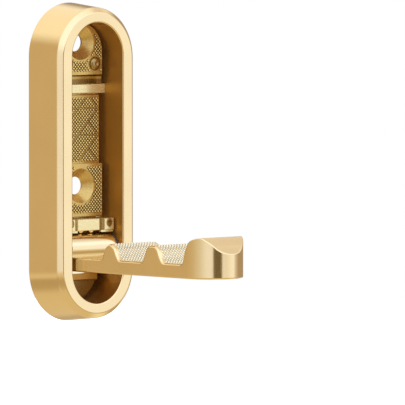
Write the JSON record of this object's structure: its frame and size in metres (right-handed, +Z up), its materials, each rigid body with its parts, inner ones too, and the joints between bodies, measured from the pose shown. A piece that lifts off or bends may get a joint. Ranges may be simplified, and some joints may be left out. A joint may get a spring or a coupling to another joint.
{
  "type": "fold-out wall hook",
  "caption": "Wall-mounted obround hook whose notched arm folds out from a tapered housing frame, for hanging headphones or hangers.",
  "frame": {"origin": "centre of the back plate's wall face, half way up and across the housing", "axes": "+Z up, +X to the right seen from the front, +Y into the wall; the arm folds out towards -Y"},
  "size_m": [0.0334, 0.0756, 0.1],
  "materials": {
    "gold_satin": "satin, brushed gold plating",
    "gold_knurled": "satin gold plating, knurled faces",
    "gold_bright": "bright gold plating",
    "brass_stud": "polished",
    "steel": "plain steel",
    "bush": "sintered",
    "washer": "smooth"
  },
  "bodies": {
    "frame": {"housing": "gold_satin", "back_plate": "gold_knurled", "upper_boss": "gold_knurled", "rest_studs": "brass_stud", "cross_bar": "gold_satin", "cross_bar_screws": "steel", "detent_bar": "gold_bright", "detent_bar_screws": "steel", "end_clamp_left": "gold_bright", "end_clamp_right": "gold_bright", "clamp_screws": "steel", "detent_ball_left": "steel", "detent_ball_right": "steel", "detent_spring_left": "steel", "detent_spring_right": "steel", "hinge_pin": "steel", "thrust_washer_left": "washer", "thrust_washer_right": "washer", "pin_keeper_left": "steel", "pin_keeper_right": "steel", "arm_stop": "gold_satin", "arm_stop_screws": "steel"},
    "arm": {"arm": "gold_satin", "hinge_bush_left": "bush", "hinge_bush_right": "bush"}
  },
  "joints": [
    {"name": "arm_hinge", "type": "hinge", "parent": "frame", "child": "arm", "pos_m": [0, -0.0079, -0.0267], "axis": [-1, 0, 0], "range_deg": [0, 85]}
  ]
}
